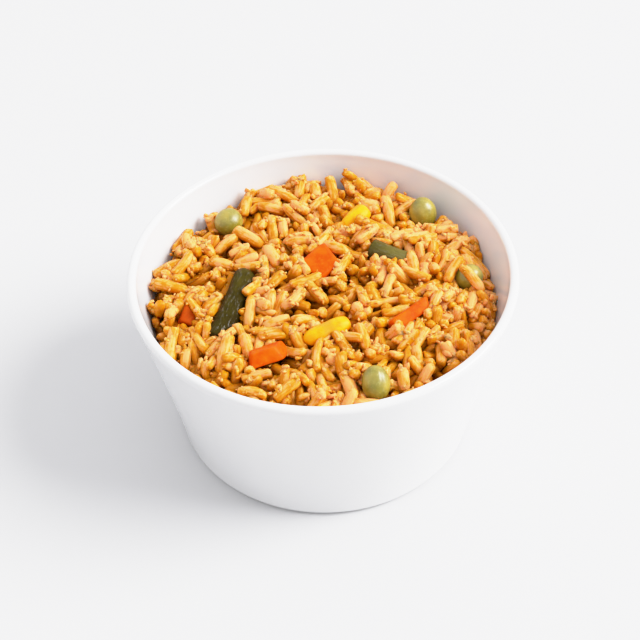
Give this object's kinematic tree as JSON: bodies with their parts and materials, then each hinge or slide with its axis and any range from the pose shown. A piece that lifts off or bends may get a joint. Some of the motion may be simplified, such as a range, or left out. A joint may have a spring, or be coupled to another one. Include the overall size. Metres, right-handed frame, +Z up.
{
  "type": "bowl of rice",
  "caption": "Plain white tapered bowl filled with golden seasoned rice dotted with peas, sweetcorn, carrot and green bean pieces.",
  "frame": {"origin": "middle of the flat underside of the bowl, which stands on the ground plane z = 0", "axes": "+Z up along the bowl's axis; the side of the bowl nearest the viewer in the picture faces -Y, and +X is to the viewer's right"},
  "size_m": [0.12, 0.12, 0.0618],
  "materials": {
    "porcelain": "smooth white glaze, glossy",
    "rice": "cooked rice, golden, moist and slightly glossy",
    "pea": "cooked pea skin, yellowish green, slightly glossy",
    "sweetcorn": "cooked sweetcorn, bright yellow, moist",
    "carrot": "cooked carrot, orange, moist cut faces",
    "green_bean": "cooked green bean, dark olive, glossy streaks"
  },
  "bodies": {
    "root": {"bowl": "porcelain", "rice": "rice", "pea_back_left": "pea", "pea_back_right": "pea", "pea_right": "pea", "pea_front": "pea", "corn_back": "sweetcorn", "corn_middle": "sweetcorn", "carrot_middle": "carrot", "carrot_front": "carrot", "carrot_right": "carrot", "carrot_left": "carrot", "bean_left": "green_bean", "bean_back": "green_bean"}
  },
  "joints": []
}
